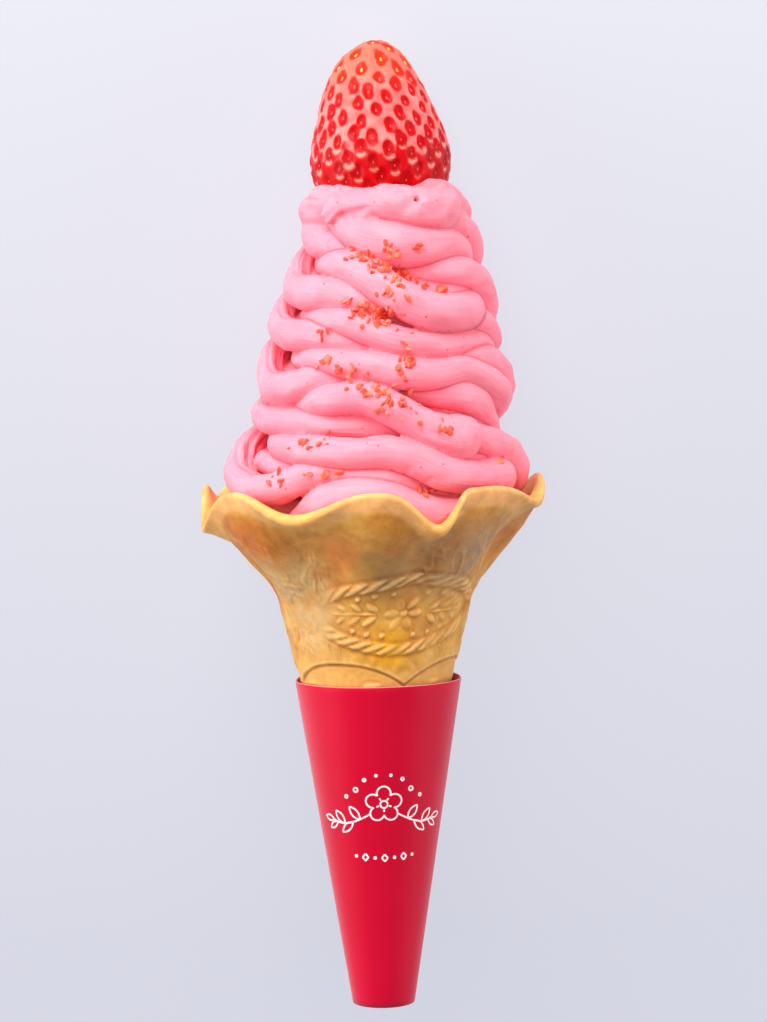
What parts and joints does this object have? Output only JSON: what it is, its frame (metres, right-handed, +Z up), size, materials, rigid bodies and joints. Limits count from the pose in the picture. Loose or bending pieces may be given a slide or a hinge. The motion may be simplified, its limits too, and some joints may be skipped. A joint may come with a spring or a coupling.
{
  "type": "soft serve ice cream cone",
  "caption": "Wavy-lipped wafer cone in a paper sleeve, with a tall looped pile of strawberry soft cream, freeze-dried crumbs and a strawberry on top, lying on its side.",
  "frame": {"origin": "on the floor, under the middle of the lying piece", "axes": "+Z up towards the shown side, +Y towards the strawberry, +X to the shown side's right"},
  "size_m": [0.0934, 0.2532, 0.0919],
  "materials": {
    "wafer": "baked, matt with a thin sugar sheen",
    "sleeve": "printed red, satin coated",
    "cream": "pale pink, soft sheen",
    "berry": "red, moist gloss"
  },
  "bodies": {
    "root": {"wafer_cone": "wafer", "paper_sleeve": "sleeve", "soft_cream": "cream", "strawberry": "berry"}
  },
  "joints": []
}
